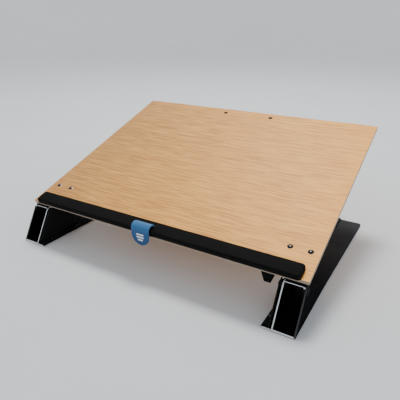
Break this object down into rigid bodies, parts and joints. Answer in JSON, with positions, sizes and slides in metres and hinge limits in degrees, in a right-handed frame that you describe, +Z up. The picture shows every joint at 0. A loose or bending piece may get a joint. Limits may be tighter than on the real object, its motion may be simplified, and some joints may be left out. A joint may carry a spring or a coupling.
{
  "type": "laptop stand",
  "caption": "Sloping wood-faced laptop stand on folded steel legs, with a front stop bar, webbing pull tab and fold-down rear strut.",
  "frame": {"origin": "on the table, under the middle of the stand's outer box", "axes": "+X to the user's right along the deck's width, +Y to the rear, +Z up; millimetre model, metres in the row"},
  "size_m": [0.354, 0.2774, 0.1317],
  "materials": {
    "oak_ply": "matt oak veneer",
    "black_rubber": "matt",
    "blue_webbing": "woven",
    "black_steel": "matt black powder coat",
    "black_rivet": "gloss black",
    "bare_steel": "satin"
  },
  "bodies": {
    "base": {"left_leg": "black_steel", "right_leg": "black_steel", "left_gusset": "black_steel", "right_gusset": "black_steel", "gusset_rivets": "black_rivet", "left_pivot_rivets": "black_rivet", "right_pivot_rivets": "black_rivet", "rear_crossbar": "black_steel", "crossbar_rivets": "black_rivet", "foot_pads": "black_rubber"},
    "deck": {"deck_panel": "oak_ply", "front_stop_bar": "black_rubber", "pull_tab": "blue_webbing", "bracket_shims": "black_rubber", "left_bracket": "black_steel", "right_bracket": "black_steel", "front_rivets": "black_rivet", "rivet_washers": "bare_steel", "rear_hinge_leaf": "black_steel", "rear_rivets": "black_rivet", "strut_hinge_pin": "bare_steel"},
    "strut": {"strut_plate": "black_steel", "strut_shoe": "black_rubber"}
  },
  "joints": [
    {"name": "deck_tilt", "type": "hinge", "parent": "base", "child": "deck", "pos_m": [0, -0.11479, 0.03578], "axis": [1, 0, 0], "range_deg": [0, 28]},
    {"name": "strut_fold", "type": "hinge", "parent": "deck", "child": "strut", "pos_m": [0, 0.1107, 0.11536], "axis": [-1, 0, 0], "range_deg": [0, 62]}
  ]
}
